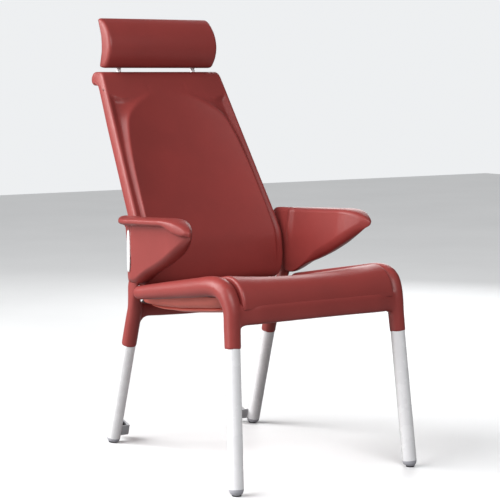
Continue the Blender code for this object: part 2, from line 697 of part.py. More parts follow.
# ---------------------------------------------------------------- gas spring and its release
def gas_spring():
    """Cylinder on a clevis under the seat plate, and the rod that ends in an eye on the crank pin."""
    tip = crank_tip()
    direction = (tip - SPRING_FRONT).normalized()
    across = Vector((1, 0, 0))
    along = direction.cross(across).normalized()
    pivot = joint_empty("spring_pivot", SPRING_FRONT)
    stations = ((0.012, 0.0085), (0.016, SPRING_R), (0.192, SPRING_R), (0.196, 0.0095))
    rings = [rounded_ring(SPRING_FRONT + direction * d, across, along, r, r, count=24) for d, r in stations]
    cylinder = loft("gas_spring_cylinder", rings, "black_steel", pivot)
    eye = eye_block("spring_front_eye_solid", SPRING_FRONT, direction, 0.0135, 0.0070, 0.0045, pivot)
    unite(cylinder, eye)
    cut(cylinder, rod("rod_bore", SPRING_FRONT + direction * 0.060, SPRING_FRONT + direction * 0.21,
                      ROD_R + 0.0002, None, pivot, 0.0, 16))
    cut(cylinder, bore("front_eye_bore", SPRING_FRONT, 0.0042, 0.03, parent=pivot))
    length = (tip - SPRING_FRONT).length
    slide = joint_empty("rod_slide", SPRING_FRONT + direction * 0.196)
    shaft = rod("gas_spring_rod", SPRING_FRONT + direction * 0.100, SPRING_FRONT + direction * (length - 0.006),
                ROD_R, "bright_steel", slide, 0.0005, 12)
    unite(shaft, eye_block("rod_eye_solid", tip, -direction, 0.0110, 0.0068, 0.0050, slide))
    cut(shaft, bore("rod_eye_bore", tip, 0.0040, 0.03, parent=slide))
    clevis()


def eye_block(name, centre, direction, reach, radius, half_width, parent):
    """A round eye with a neck towards its shaft."""
    angle = degrees(atan2(direction.z, direction.y))
    outline = arc((centre.y, centre.z), radius, angle + 60, angle + 300, 11)
    neck = Vector((0, direction.y, direction.z)) * reach
    square = Vector((0, -direction.z, direction.y)) * (radius * 0.75)
    outline += [(centre.y + neck.y - square.y, centre.z + neck.z - square.z)]
    outline += [(centre.y + neck.y + square.y, centre.z + neck.z + square.z)]
    return plate(name, outline, -half_width, half_width, None, parent)


def clevis():
    """Bracket with two ears under the seat plate that holds the gas spring's front pin."""
    y, z = SPRING_FRONT.y, SPRING_FRONT.z
    front, rear = y - 0.014, y + 0.014
    roof = [(front, seat_under(front)), (front, seat_under(front) - 0.0025)]
    roof += [(rear, seat_under(rear) - 0.0025), (rear, seat_under(rear))]
    bracket = plate("spring_clevis", roof, -0.0085, 0.0085, "black_steel")
    for side_name, side in SIDES:
        outline = arc((y, z), 0.0090, 180, 360, 9)
        outline += [(rear, seat_under(rear) - 0.0010), (front, seat_under(front) - 0.0010)]
        low, high = sorted((side * 0.0052, side * 0.0085))
        unite(bracket, plate("clevis_ear_" + side_name, outline, low, high, None))
    cut(bracket, bore("clevis_bore", SPRING_FRONT, 0.0041, 0.04))
    rod("spring_front_pin", Vector((-0.0115, y, z)), Vector((0.0115, y, z)), 0.0040, "zinc_steel", None, 0.0005, 12)


def release_lever():
    """Cross shaft with a finger at the spring's valve and a paddle under the right seat rail."""
    at = LEVER_AT
    pivot = joint_empty("lever_pivot", at)
    shaft = rod("release_lever", Vector((-0.010, at.y, at.z)), Vector((0.238, at.y, at.z)), 0.0040, "black_steel", pivot,
                0.0005, 12)
    finger = [(at.y - 0.0045, at.z - 0.0045), (at.y + 0.0045, at.z - 0.0045), (at.y + 0.0060, at.z + 0.0120),
              (at.y + 0.0020, at.z + 0.0120)]
    unite(shaft, plate("lever_finger", finger, -0.0030, 0.0030, None, pivot))
    paddle = []
    for x, half_y, half_z in ((0.228, 0.010, 0.0035), (0.232, 0.0300, 0.0045), (0.262, 0.0340, 0.0045), (0.268, 0.0300, 0.0025)):
        centre = Vector((x, at.y - 0.018 * (half_y > 0.011), at.z - 0.0005))
        paddle.append(rounded_ring(centre, Vector((0, 1, 0)), Vector((0, 0, 1)), half_y, half_z, 3.0, 20))
    unite(shaft, loft("lever_paddle", paddle, None, pivot))
    for index, x in enumerate((0.030, 0.100)):
        block = [(at.y - 0.008, at.z - 0.006), (at.y + 0.008, at.z - 0.006), (at.y + 0.008, seat_under(at.y + 0.008))]
        block.append((at.y - 0.008, seat_under(at.y - 0.008)))
        hanger = plate("lever_hanger_" + ("inner", "outer")[index], block, x - 0.004, x + 0.004, "dark_plastic")
        cut(hanger, bore("hanger_bore_%d" % index, Vector((x, at.y, at.z)), 0.0042, 0.03))


def seat_under(y):
    """Underside of the seat plate."""
    return SEAT_LEVEL + SEAT_SLOPE * y - 0.0348


# ---------------------------------------------------------------- headrest
def crescent(x, low_share, high_share, shrink, count=13):
    """Section of the headrest between two shares of its thickness, rear 0 to front 1."""
    def face(share):
        points = []
        for i in range(count):
            t = i / (count - 1)
            z = HEAD_LOW + (HEAD_HIGH - HEAD_LOW) * t
            rear = 0.5040 + 0.0125 * t - 0.0200 * sin(pi * t)
            front = 0.4800 + 0.0290 * t - 0.0450 * sin(pi * t) ** 0.8
            points.append((rear + (front - rear) * share, z))
        return points
    outline = face(low_share) + list(reversed(face(high_share)))
    middle = (0.486, (HEAD_LOW + HEAD_HIGH) / 2)
    scaled = [(middle[0] + (y - middle[0]) * shrink, middle[1] + (z - middle[1]) * (1 - (1 - shrink) * 0.35))
              for y, z in outline]
    return [Vector((x, y, z)) for y, z in scaled]


def headrest(slide):
    ends = ((HEAD_HALF, 0.72), (HEAD_HALF - 0.002, 0.86), (HEAD_HALF - 0.006, 0.95), (HEAD_HALF - 0.013, 1.0))
    stations = [(-x, s) for x, s in ends] + [(x, s) for x, s in reversed(ends)]
    pieces = {}
    for name, low, high in (("headrest_shell", 0.0, 0.38), ("headrest_pad", 0.44, 1.0)):
        rings = [crescent(x, low, high, shrink) for x, shrink in stations]
        pieces[name] = loft(name, rings, "moulded_skin", slide)
    bend = POST_AT + BACK_UP * 0.004
    top = Vector((0, 0.4775, 1.118))
    for side_name, side in SIDES:
        shift = Vector((side * POST_X, 0, 0))
        low = POST_AT - BACK_UP * POST_BELOW
        path = [low, low + BACK_UP * 0.001, bend - BACK_UP * 0.006, bend, bend.lerp(top, 0.12), top]
        radii = (POST_R - 0.001, POST_R, POST_R, POST_R, POST_R, POST_R)
        rings = post_rings(path, radii, shift)
        loft("headrest_post_" + side_name, rings, "bright_steel", slide)
        for name in pieces:
            grown = [radius + GAP + (0.001 if i == 0 else 0) for i, radius in enumerate(radii)]
            longer = path[:-1] + [top + (top - bend).normalized() * 0.001]
            cutter = loft(name + "_post_bore_" + side_name, post_rings(longer, grown, shift), None, slide)
            cut(pieces[name], cutter)


def post_rings(path, radii, shift):
    rings = []
    across = Vector((1, 0, 0))
    for i, (at, radius) in enumerate(zip(path, radii)):
        heading = (path[min(i + 1, len(path) - 1)] - path[max(i - 1, 0)]).normalized()
        rings.append(rounded_ring(at + shift, across, heading.cross(across).normalized(), radius, radius, 2.0, 20))
    return rings


# ---------------------------------------------------------------- transport wheels
def transport_wheel(side_name, side):
    """Folded fork welded to the inner side of the rear leg, with its roller and axle."""
    leg_up = (mirrored(REAR_SLEEVE, side) - mirrored(REAR_FOOT, side)).normalized()
    back = Vector((0, leg_up.z, -leg_up.y)).normalized()
    up = Vector((0, leg_up.y, leg_up.z)).normalized()
    corner = Vector((0, FORK_FRONT[0], FORK_FRONT[1]))
    rings = []
    for rise in (0.0, FORK_HEIGHT):
        base = corner + up * rise
        loop = []
        for x, depth in FORK_PLAN:
            loop.append(Vector((side * x, 0, 0)) + base + back * depth)
        rings.append(loop)
    fork = loft("wheel_fork_" + side_name, rings, "grey_plastic")
    axle_at = corner + up * WHEEL_RISE + back * WHEEL_BACK
    middle = side * (FORK_INNER + 0.0025 + 0.2095) / 2
    low = Vector((side * (FORK_INNER - 0.0020), axle_at.y, axle_at.z))
    high = Vector((side * 0.2140, axle_at.y, axle_at.z))
    cut(fork, bore("axle_bore_" + side_name, Vector((side * 0.198, axle_at.y, axle_at.z)), 0.0032, 0.05))
    rod("wheel_axle_" + side_name, low, high, 0.0030, "zinc_steel", None, 0.0005, 12)
    hub = joint_empty("wheel_hub_" + side_name, Vector((middle, axle_at.y, axle_at.z)))
    half = 0.0078
    profile = ((0.0032, -half), (0.0080, -half), (0.0090, -half + 0.0008), (WHEEL_R - 0.003, -half + 0.0008),
               (WHEEL_R, -half + 0.0035), (WHEEL_R, half - 0.0035), (WHEEL_R - 0.003, half - 0.0008),
               (0.0090, half - 0.0008), (0.0080, half), (0.0032, half))
    turned("transport_wheel_" + side_name, profile, hub.location, Vector((-1, 0, 0)), "wheel_rubber", hub, 24)


# ---------------------------------------------------------------- assembly
def build():
    clear_scene()
    legs()
    fixed_seat()
    for side_name, side in SIDES:
        arm(side_name, side)
        transport_wheel(side_name, side)
    recline = joint_empty("recline_hinge", HINGE)
    back_pad(recline)
    back_shell(recline)
    post_guides(recline)
    for side_name, side in SIDES:
        hinge_side(side_name, side, recline)
    back_drive(recline)
    gas_spring()
    release_lever()
    slide = joint_empty("headrest_slide", POST_AT)
    headrest(slide)
    for item in bpy.data.objects:
        if item.parent is None:
            item.location.y -= FOOTPRINT_MIDDLE


build()
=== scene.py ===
"""Looks for the patient recliner chair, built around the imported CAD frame.

The sitter faces -Y. Shapes are written in the chair's own measures, counted from the middle between
the feet, and ORIGIN moves them to the frame. The soft parts are one-piece moulded foam with an
integral skin, so they are skinned sections, not sewn covers.
"""
import json
from math import cos, exp, pi, radians, sin, sqrt

import bmesh
import bpy
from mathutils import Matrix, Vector


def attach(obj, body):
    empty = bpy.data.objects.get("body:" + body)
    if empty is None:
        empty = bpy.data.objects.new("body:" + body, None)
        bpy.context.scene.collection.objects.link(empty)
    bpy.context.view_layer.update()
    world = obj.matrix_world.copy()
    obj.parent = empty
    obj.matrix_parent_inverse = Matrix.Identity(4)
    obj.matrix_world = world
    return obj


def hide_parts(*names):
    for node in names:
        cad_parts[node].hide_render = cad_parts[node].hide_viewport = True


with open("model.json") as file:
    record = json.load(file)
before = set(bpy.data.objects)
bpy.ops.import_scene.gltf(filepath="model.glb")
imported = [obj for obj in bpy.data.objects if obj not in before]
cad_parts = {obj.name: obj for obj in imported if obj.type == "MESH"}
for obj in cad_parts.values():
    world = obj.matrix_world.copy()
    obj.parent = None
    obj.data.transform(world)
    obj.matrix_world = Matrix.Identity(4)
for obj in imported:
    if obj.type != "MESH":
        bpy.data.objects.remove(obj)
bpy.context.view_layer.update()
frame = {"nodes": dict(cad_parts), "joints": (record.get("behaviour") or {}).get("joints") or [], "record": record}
JOINTS = {joint["name"]: joint for joint in frame["joints"]}
HINGE = Vector(JOINTS["recline"]["pos_m"])
HINGE_Y, HINGE_Z = 0.205, 0.442       # the recline hinge in the chair's own measures
ORIGIN = Vector((0, HINGE.y - HINGE_Y, HINGE.z - HINGE_Z))
SIDES = (("left", -1), ("right", 1))
X = Vector((1, 0, 0))
Y = Vector((0, 1, 0))
Z = Vector((0, 0, 1))


def in_scene(name, data):
    """A new object that shows the data."""
    item = bpy.data.objects.new(name, data)
    bpy.context.scene.collection.objects.link(item)
    return item


# ---------------------------------------------------------------- camera
CAMERA_AT = Vector((-2.48, -3.70, 1.05))
CAMERA_TILT = radians(83.8)
CAMERA_TURN = radians(-33.8)
CAMERA_LENS_MM = 118.9
CAMERA_SENSOR_MM = 36

camera = in_scene("camera", bpy.data.cameras.new("camera"))
camera.location = CAMERA_AT + ORIGIN
camera.rotation_euler = (CAMERA_TILT, 0, CAMERA_TURN)
camera.data.lens = CAMERA_LENS_MM
camera.data.sensor_width = CAMERA_SENSOR_MM
bpy.context.scene.camera = camera


# ---------------------------------------------------------------- number helpers
def clamp(value, low=0.0, high=1.0):
    return min(max(value, low), high)


def smooth_step(value):
    value = clamp(value)
    return value * value * (3 - 2 * value)


def read(table, key):
    """Straight-line reading of a table of (key, value) pairs, keys rising."""
    if key <= table[0][0]:
        return table[0][1]
    for (k0, v0), (k1, v1) in zip(table, table[1:]):
        if key <= k1:
            return v0 + (v1 - v0) * (key - k0) / (k1 - k0)
    return table[-1][1]


def soft_read(table, key, reach):
    """Reading of a table with its corners rounded over a reach."""
    steps = (-1.0, -0.6, -0.3, 0.0, 0.3, 0.6, 1.0)
    weights = (0.07, 0.14, 0.18, 0.22, 0.18, 0.14, 0.07)
    return sum(w * read(table, key + reach * s) for s, w in zip(steps, weights))


def curve(keys, count):
    """A smooth line through key points of any length, even in its own arc length."""
    def tangent(i):
        a, b = keys[max(i - 1, 0)], keys[min(i + 1, len(keys) - 1)]
        span = lengths[min(i + 1, len(keys) - 1)] - lengths[max(i - 1, 0)]
        return [(q - p) / max(span, 1e-9) for p, q in zip(a, b)]

    lengths = [0.0]
    for a, b in zip(keys, keys[1:]):
        lengths.append(lengths[-1] + max(sqrt(sum((q - p) ** 2 for p, q in zip(a[:3], b[:3]))), 1e-6))
    tangents = [tangent(i) for i in range(len(keys))]
    points = []
    segment = 0
    for k in range(count):
        at = lengths[-1] * k / (count - 1)
        while segment < len(keys) - 2 and at > lengths[segment + 1]:
            segment += 1
        span = lengths[segment + 1] - lengths[segment]
        t = (at - lengths[segment]) / span
        h00, h10 = 2 * t ** 3 - 3 * t ** 2 + 1, t ** 3 - 2 * t ** 2 + t
        h01, h11 = -2 * t ** 3 + 3 * t ** 2, t ** 3 - t ** 2
        a, b = keys[segment], keys[segment + 1]
        ta, tb = tangents[segment], tangents[segment + 1]
        points.append([h00 * p + h10 * span * m + h01 * q + h11 * span * n
                       for p, q, m, n in zip(a, b, ta, tb)])
    return points


def blunt_min(first, second, reach):
    """The smaller of two numbers, with the corner between them rounded."""
    reach = max(reach, 1e-6)
    gap = clamp(0.5 + (second - first) / (2 * reach))
    return second + (first - second) * gap - reach * gap * (1 - gap)


def rounding(depth, radius, power):
    """0 at an edge to 1 at the radius away from it, along a rounded corner."""
    v = clamp(depth / radius)
    return (1 - (1 - v) ** power) ** (1 / power)


def signed_root(value, power):
    """A cosine or sine bent into a squarer corner, with its sign kept."""
    return abs(value) ** (2 / power) * (1 if value >= 0 else -1)


def edge_tuck(x, half, edge, power):
    """How far a face has dropped at x, round the edge of a piece of this half width."""
    over = clamp((abs(x) - (half - edge)) / edge)
    return edge * (1 - sqrt(max(1 - over ** power, 0.0)))


# ---------------------------------------------------------------- mesh helpers
def ring(centre, across, along, half_a, half_b, power=2.0, count=48):
    points = []
    for i in range(count):
        angle = 2 * pi * i / count
        c, s = cos(angle), sin(angle)
        a = half_a * signed_root(c, power)
        b = half_b * signed_root(s, power)
        points.append(centre + across * a + along * b)
    return points


def add_loops(bm, loops, strip_ends=False):
    """Skins a row of equal loops and closes both ends, with a fan or, for a long bent loop, a strip."""
    rows = [[bm.verts.new(point) for point in loop] for loop in loops]
    count = len(loops[0])
    for low, high in zip(rows, rows[1:]):
        for i in range(count):
            j = (i + 1) % count
            bm.faces.new((low[i], low[j], high[j], high[i]))
    for row, flip in ((rows[0], True), (rows[-1], False)):
        if strip_ends:
            for i in range((count - 1) // 2):
                corners = (row[i], row[i + 1], row[-2 - i], row[-1 - i])
                corners = list(dict.fromkeys(corners))
                bm.faces.new(reversed(corners) if flip else corners)
            continue
        middle = bm.verts.new(sum((v.co for v in row), Vector()) / count)
        for i in range(count):
            j = (i + 1) % count
            bm.faces.new((row[j], row[i], middle) if flip else (row[i], row[j], middle))


def outline_normals(outline):
    """The outward normal at each point of a closed (y, z) outline."""
    normals = []
    for i in range(len(outline)):
        (y0, z0), (y1, z1) = outline[i - 1], outline[(i + 1) % len(outline)]
        run = Vector((0, y1 - y0, z1 - z0)).normalized()
        normals.append(Vector((0, -run.z, run.y)))
    return normals


def new_piece(name, bm, smooth):
    bmesh.ops.remove_doubles(bm, verts=bm.verts[:], dist=2e-6)
    bmesh.ops.dissolve_degenerate(bm, dist=2e-6, edges=bm.edges[:])
    bmesh.ops.recalc_face_normals(bm, faces=bm.faces[:])
    if bm.calc_volume(signed=True) < 0:
        bmesh.ops.reverse_faces(bm, faces=bm.faces[:])
    bmesh.ops.translate(bm, verts=bm.verts[:], vec=ORIGIN)
    mesh = bpy.data.meshes.new(name)
    bm.to_mesh(mesh)
    bm.free()
    mesh.shade_smooth()
    mesh.set_sharp_from_angle(angle=radians(smooth))
    return in_scene(name, mesh)


def skinned(name, loops, smooth, strip_ends=False):
    bm = bmesh.new()
    add_loops(bm, loops, strip_ends)
    return new_piece(name, bm, smooth)


def melted(name, shapes, voxel, rounds):
    """Melts overlapping closed shapes into one moulded body with soft fillets."""
    bm = bmesh.new()
    for loops in shapes:
        add_loops(bm, loops)
    bmesh.ops.recalc_face_normals(bm, faces=bm.faces[:])
    bmesh.ops.translate(bm, verts=bm.verts[:], vec=ORIGIN)
    rough_mesh = bpy.data.meshes.new(name + "_rough")
    bm.to_mesh(rough_mesh)
    bm.free()
    rough = in_scene(name + "_rough", rough_mesh)
    remesh = rough.modifiers.new("melt", "REMESH")
    remesh.mode = "VOXEL"
    remesh.voxel_size = voxel
    soften = rough.modifiers.new("soften", "SMOOTH")
    soften.factor = 0.5
    soften.iterations = rounds
    graph = bpy.context.evaluated_depsgraph_get()
    mesh = bpy.data.meshes.new_from_object(rough.evaluated_get(graph))
    bpy.data.objects.remove(rough)
    mesh.name = name
    mesh.shade_smooth()
    return in_scene(name, mesh)


def sweep(path, sideways=X, count=48):
    """Rings along a path of (x, y, z, half across, half along, power)."""
    loops = []
    for i, row in enumerate(path):
        at = Vector(row[:3])
        before = Vector(path[max(i - 1, 0)][:3])
        after = Vector(path[min(i + 1, len(path) - 1)][:3])
        heading = (after - before).normalized()
        along = heading.cross(sideways).normalized()
        across = along.cross(heading).normalized()
        loops.append(ring(at, across, along, row[3], row[4], row[5], count))
    return loops


def with_domed_start(path, rings=6):
    """Puts a dome before the first row of a swept path."""
    row = path[0]
    heading = (Vector(row[:3]) - Vector(path[1][:3])).normalized()
    dome = []
    for k in range(1, rings + 1):
        angle = pi / 2 * k / (rings + 0.4)
        at = Vector(row[:3]) + heading * row[3] * sin(angle)
        dome.append([*at, row[3] * cos(angle), row[4] * cos(angle), row[5]])
    return list(reversed(dome)) + path


# ---------------------------------------------------------------- materials
class Nodes:
    """A short way to write a node material."""

    def __init__(self, name):
        self.material = bpy.data.materials.new(name)
        self.material.use_nodes = True
        self.tree = self.material.node_tree
        self.shader = self.tree.nodes["Principled BSDF"]
        self.position = self.tree.nodes.new("ShaderNodeTexCoord").outputs["Object"]

    def add(self, kind, **values):
        node = self.tree.nodes.new(kind)
        for key, value in values.items():
            if key in node.inputs:
                socket = node.inputs[key]
                if hasattr(value, "is_output"):
                    self.tree.links.new(value, socket)
                else:
                    socket.default_value = value
            else:
                setattr(node, key, value)
        return node

    def noise(self, scale, detail=3.0):
        texture = self.add("ShaderNodeTexNoise", Vector=self.position, Scale=scale, Detail=detail,
                           Roughness=0.55)
        return texture.outputs[0]

    def cells(self, scale):
        return self.add("ShaderNodeTexVoronoi", Vector=self.position, Scale=scale).outputs["Distance"]

    def spread(self, value, low, high, to_low=0.0, to_high=1.0):
        node = self.add("ShaderNodeMapRange", Value=value)
        limits = {"From Min": low, "From Max": high, "To Min": to_low, "To Max": to_high}
        for key, number in limits.items():
            node.inputs[key].default_value = number
        return node.outputs[0]

    def mix_colour(self, share, first, second):
        node = self.add("ShaderNodeMix", data_type="RGBA")
        self.link(share, node.inputs[0])
        for socket, colour in ((node.inputs[6], first), (node.inputs[7], second)):
            if hasattr(colour, "is_output"):
                self.link(colour, socket)
            else:
                socket.default_value = (*colour, 1.0)
        return node.outputs[2]

    def maths(self, operation, first, second):
        node = self.tree.nodes.new("ShaderNodeMath")
        node.operation = operation
        for socket, value in zip(node.inputs, (first, second)):
            if hasattr(value, "is_output"):
                self.link(value, socket)
            else:
                socket.default_value = value
        return node.outputs[0]

    def link(self, output, socket):
        self.tree.links.new(output, socket)

    def bump(self, height, strength, distance, under=None):
        node = self.add("ShaderNodeBump", Strength=strength, Distance=distance, Height=height)
        if under:
            self.link(under, node.inputs["Normal"])
        return node.outputs[0]


def tint(colour, factor):
    return tuple(clamp(channel * factor) for channel in colour)


def moulded_skin(name, colour, roughness=0.40, grain=0.10, mottling=0.05):
    """Self-skinned foam: a fine pebble grain, faint clouding and slightly polished high spots."""
    n = Nodes(name)
    cloud = n.noise(9.0, 4.0)
    fine = n.noise(75.0, 2.0)
    body = n.mix_colour(n.spread(cloud, 0.35, 0.65), tint(colour, 1 - mottling), tint(colour, 1 + mottling))
    body = n.mix_colour(n.spread(fine, 0.62, 0.80, 0.0, 0.25), body, tint(colour, 1.25))
    worn = n.tree.nodes.new("ShaderNodeNewGeometry").outputs["Pointiness"]
    body = n.mix_colour(n.spread(worn, 0.53, 0.62, 0.0, 0.18), body, tint(colour, 1.5))
    n.link(body, n.shader.inputs["Base Color"])
    n.link(n.spread(cloud, 0.3, 0.7, roughness + 0.05, roughness - 0.04), n.shader.inputs["Roughness"])
    n.shader.inputs["Specular IOR Level"].default_value = 0.32
    n.shader.inputs["Coat Weight"].default_value = 0.06
    n.shader.inputs["Coat Roughness"].default_value = 0.32
    pebbles = n.cells(620.0)
    height = n.maths("ADD", n.maths("MULTIPLY", pebbles, 0.6), n.noise(260.0, 3.0))
    wide = n.bump(n.noise(16.0, 2.0), 0.05, 0.004)
    n.link(n.bump(height, grain, 0.0006, wide), n.shader.inputs["Normal"])
    return n.material


def hard_surface(name, colour, roughness, metallic, peel=0.05, scale=180.0, dust=0.06, coat=0.0):
    """Paint, plastic or metal: faint unevenness of colour and gloss, and a fine surface ripple."""
    n = Nodes(name)
    cloud = n.noise(22.0, 4.0)
    body = n.mix_colour(n.spread(cloud, 0.35, 0.68), tint(colour, 1 - dust), tint(colour, 1 + dust * 0.6))
    specks = n.spread(n.noise(420.0, 1.0), 0.70, 0.78, 0.0, 0.30)
    body = n.mix_colour(specks, body, tint(colour, 0.72))
    n.link(body, n.shader.inputs["Base Color"])
    n.link(n.spread(cloud, 0.3, 0.7, roughness * 0.85, roughness * 1.2), n.shader.inputs["Roughness"])
    n.shader.inputs["Metallic"].default_value = metallic
    n.shader.inputs["Coat Weight"].default_value = coat
    n.shader.inputs["Coat Roughness"].default_value = 0.12
    n.link(n.bump(n.noise(scale, 3.0), peel, 0.0008), n.shader.inputs["Normal"])
    return n.material


RED = (0.262, 0.042, 0.038)
SKIN = moulded_skin("moulded_red_skin", RED)
# Lighter, pinker copy of the red skin for the belly wall. The extra lightness is painted light, standing in for
# the strong light from the left that falls on it; the coarser grain and rougher finish are its own.
BELLY_PAINTED_LIGHT = moulded_skin("moulded_belly_skin_painted_light", (0.560, 0.130, 0.102), roughness=0.50, grain=0.45, mottling=0.10)
FINISHES = {
    "moulded_skin": SKIN,
    "belly_skin": BELLY_PAINTED_LIGHT,
    "white_enamel": hard_surface("white_enamel", (0.80, 0.80, 0.82), 0.26, 0.0, peel=0.10,
                                 scale=140.0, dust=0.03, coat=0.35),
    "white_plastic": hard_surface("white_cap_plastic", (0.86, 0.87, 0.88), 0.28, 0.0, peel=0.04,
                                  dust=0.02),
    "grey_paint": hard_surface("grey_fork_paint", (0.43, 0.435, 0.455), 0.38, 0.0, peel=0.12,
                               scale=240.0),
    "grey_plastic": hard_surface("grey_foot_plastic", (0.40, 0.40, 0.44), 0.42, 0.0, peel=0.10,
                                 scale=300.0),
    "dark_plastic": hard_surface("dark_plastic", (0.030, 0.030, 0.033), 0.50, 0.0, peel=0.12,
                                 scale=320.0, dust=0.2),
    "bright_steel": hard_surface("chrome_post", (0.86, 0.87, 0.89), 0.34, 0.15, peel=0.02,
                                 dust=0.03),
    "zinc_steel": hard_surface("zinc_plated_steel", (0.52, 0.53, 0.55), 0.34, 1.0, peel=0.10,
                               dust=0.12),
    "black_steel": hard_surface("black_painted_steel", (0.022, 0.022, 0.024), 0.36, 0.0,
                                peel=0.14, scale=220.0, coat=0.2),
    "wheel_rubber": hard_surface("roller_rubber", (0.028, 0.029, 0.030), 0.68, 0.0, peel=0.25,
                                 scale=380.0, dust=0.3),
    "bronze": hard_surface("sintered_bronze", (0.42, 0.27, 0.12), 0.38, 1.0, peel=0.2,
                           scale=500.0, dust=0.15),
}
SLOT_OF = {part["node"]: part["material_slot"] for part in frame["record"]["subparts"]}
for node, item in frame["nodes"].items():
    item.data.materials.clear()
    item.data.materials.append(FINISHES[SLOT_OF[node]])


def place(piece, body, slot, *nodes):
    piece.data.materials.clear()
    piece.data.materials.append(FINISHES[slot])
    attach(piece, body)
    if nodes:
        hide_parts(*nodes)
    return piece


# ---------------------------------------------------------------- seat rails, front sleeves and apron
FRONT_FOOT = Vector((0.277, -0.349, 0.0))
FRONT_SLEEVE = Vector((0.262, -0.310, 0.362))
REAR_FOOT = Vector((0.239, 0.349, 0.0))
REAR_SLEEVE = Vector((0.235, 0.259, 0.292))
MELT_VOXEL = 0.0028


def on_side(point, side):
    return Vector((point.x * side, point.y, point.z))


def rail_path(side):
    """Centre line of a seat rail, round the front bend and down into the leg sleeve."""
    up = (FRONT_SLEEVE - FRONT_FOOT).normalized()
    low = FRONT_SLEEVE + up * 0.098
    keys = [
        (0.2600, 0.1500, 0.4523, 0.0192),
        (0.2603, 0.0800, 0.4630, 0.0208),
        (0.2610, -0.0300, 0.4802, 0.0232),
        (0.2620, -0.1500, 0.4990, 0.0252),
        (0.2620, -0.2150, 0.5090, 0.0262),
        (0.2615, -0.2540, 0.5085, 0.0262),
        (0.2605, -0.2800, 0.4950, 0.0250),
        (*low, 0.0228),
        (*(FRONT_SLEEVE + up * 0.05), 0.0214),
        (*FRONT_SLEEVE, 0.0208),
    ]
    path = [[side * x, y, z, r, r, 2.0] for x, y, z, r in curve(keys, 46)]
    return with_domed_start(path)


def apron_loops():
    loops = []
    reach = 0.2560
    for i in range(49):
        x = -reach + 2 * reach * i / 48
        flare = clamp((abs(x) - 0.2220) / 0.0190)
        low = 0.4195 - 0.0110 * (1 - sqrt(1 - flare ** 2 * 0.98)) - 0.0025 * (x / reach) ** 2
        high = 0.4720
        front = -0.3275 + 0.0070 * smooth_step((abs(x) - 0.180) / 0.060)
        centre = Vector((x, front + 0.0165, (low + high) / 2))
        loops.append(ring(centre, Y, Z, 0.0165, (high - low) / 2, 3.0))
    return loops


seat_frame = melted("moulded_seat_frame",
                    [sweep(rail_path(-1)), sweep(rail_path(1)), apron_loops()], MELT_VOXEL, 7)
place(seat_frame, "frame", "moulded_skin", "seat_rail_left", "seat_rail_right", "front_apron")


# ---------------------------------------------------------------- rear sleeves and crossbar
def rear_sleeve_path(side):
    up = (REAR_SLEEVE - REAR_FOOT).normalized()
    keys = [(*REAR_SLEEVE, 0.0208, 0.0208, 2.0)]
    for rise, half in ((0.040, 0.0208), (0.080, 0.0208), (0.112, 0.0205)):
        keys.append((*(REAR_SLEEVE + up * rise), half, half, 2.0))
    for rise, x, half_x, half_y in ((0.150, 0.2440, 0.0130, 0.0205), (0.178, 0.2500, 0.0080, 0.0235)):
        at = REAR_SLEEVE + up * rise
        keys.append((x, at.y, at.z, half_x, half_y, 2.3))
    keys += [(0.2500, 0.1860, 0.510, 0.0055, 0.0220, 3.0),
             (0.2500, 0.1880, 0.575, 0.0050, 0.0150, 3.0)]
    return [[side * row[0], *row[1:]] for row in curve(keys, 40)]


def crossbar_loops():
    loops = []
    reach = 0.2330
    for i in range(57):
        x = -reach + 2 * reach * i / 56
        sag = 1 - (x / reach) ** 2
        flare = clamp((abs(x) - 0.1880) / 0.0300)
        low = 0.3760 - 0.0075 * sag - 0.028 * (1 - sqrt(1 - flare ** 2 * 0.97))
        high = 0.4120 - 0.008 * sag + 0.004 * flare
        centre = Vector((x, 0.2290 + 0.004 * flare, (low + high) / 2))
        loops.append(ring(centre, Y, Z, 0.0125, (high - low) / 2, 2.6))
    return loops


rear_frame = melted("moulded_rear_frame",
                    [sweep(rear_sleeve_path(-1)), sweep(rear_sleeve_path(1)), crossbar_loops()],
                     MELT_VOXEL, 6)
place(rear_frame, "frame", "moulded_skin", "rear_leg_sleeve_left", "rear_leg_sleeve_right", "rear_crossbar")


# ---------------------------------------------------------------- seat pad
SEAT_HALF = 0.2375
SEAT_REAR, SEAT_BEND = 0.168, -0.236        # y of the rear edge, and of the start of the front bend
SEAT_LEVEL, SEAT_SLOPE = 0.491, 0.183
SEAT_TILT = radians(10.4)
BEND_RADIUS, BEND_ANGLE = 0.0740, radians(103)
SEAT_DISH, FRONT_DISH = 0.0170, 0.0130
PAD_EDGE = 0.0075
PAD_DEPTH = 0.0265
PAD_SIDE_STEP = 0.0035


def seat_stations(level_rows=45, bend_rows=26):
    """(y, z, heading angle from level, dish depth) along the seat from the rear."""
    rows = []
    for i in range(level_rows):
        y = SEAT_REAR - (SEAT_REAR - SEAT_BEND) * i / (level_rows - 1)
        front = smooth_step((-0.05 - y) / 0.17)
        z = SEAT_LEVEL - SEAT_SLOPE * y + 0.0020 * front
        rows.append((y, z, -SEAT_TILT, SEAT_DISH + (FRONT_DISH - SEAT_DISH) * front))
    y, z = rows[-1][:2]
    centre_y, centre_z = y - BEND_RADIUS * sin(SEAT_TILT), z - BEND_RADIUS * cos(SEAT_TILT)
    for i in range(1, bend_rows + 1):
        swing = BEND_ANGLE * i / bend_rows - SEAT_TILT
        rows.append((centre_y - BEND_RADIUS * sin(swing), centre_z + BEND_RADIUS * cos(swing), swing,
                     FRONT_DISH * (1 - smooth_step(i / 18))))
    return rows


